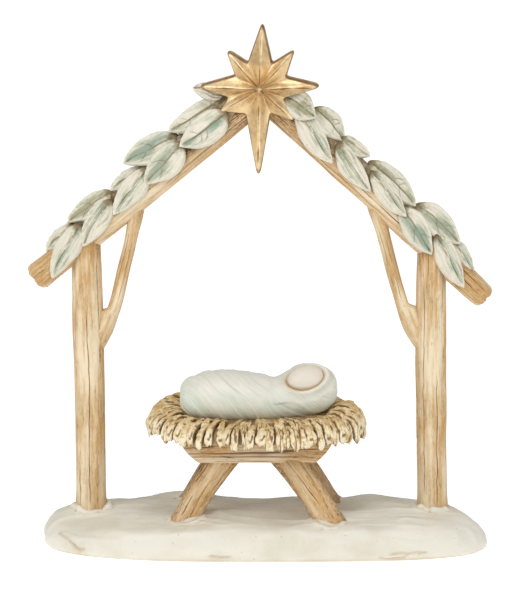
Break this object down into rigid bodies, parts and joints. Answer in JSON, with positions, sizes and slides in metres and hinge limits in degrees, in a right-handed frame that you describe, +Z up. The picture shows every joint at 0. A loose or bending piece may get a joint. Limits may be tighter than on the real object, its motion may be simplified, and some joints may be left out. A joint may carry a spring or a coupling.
{
  "type": "nativity figurine of a swaddled child in a manger under a stable",
  "caption": "Cast resin nativity ornament: a swaddled child on straw in a manger, under a leafy pole stable with a gilt star, on one low ground base.",
  "frame": {"origin": "on the flat underside of the ground, midway between the two posts", "axes": "+Z up, the front towards -Y, +X to the right as seen from the front"},
  "size_m": [0.2704, 0.098, 0.3051],
  "materials": {
    "painted_resin": "hand-painted matt resin, washed brown in the hollows",
    "ground_cream": "matt cream paint on soft swells",
    "driftwood_paint": "tan paint with a brown wash in carved grain",
    "leaf_paint": "pale sage and cream paint, teal in the hollows",
    "star_gilding": "satin antique gold paint",
    "straw_paint": "straw yellow paint, cream on the tips, brown in the grooves",
    "swaddle_paint": "pale mint and cream paint",
    "face_paint": "smooth ivory paint"
  },
  "bodies": {
    "root": {"nativity_figurine": "painted_resin"}
  },
  "joints": []
}
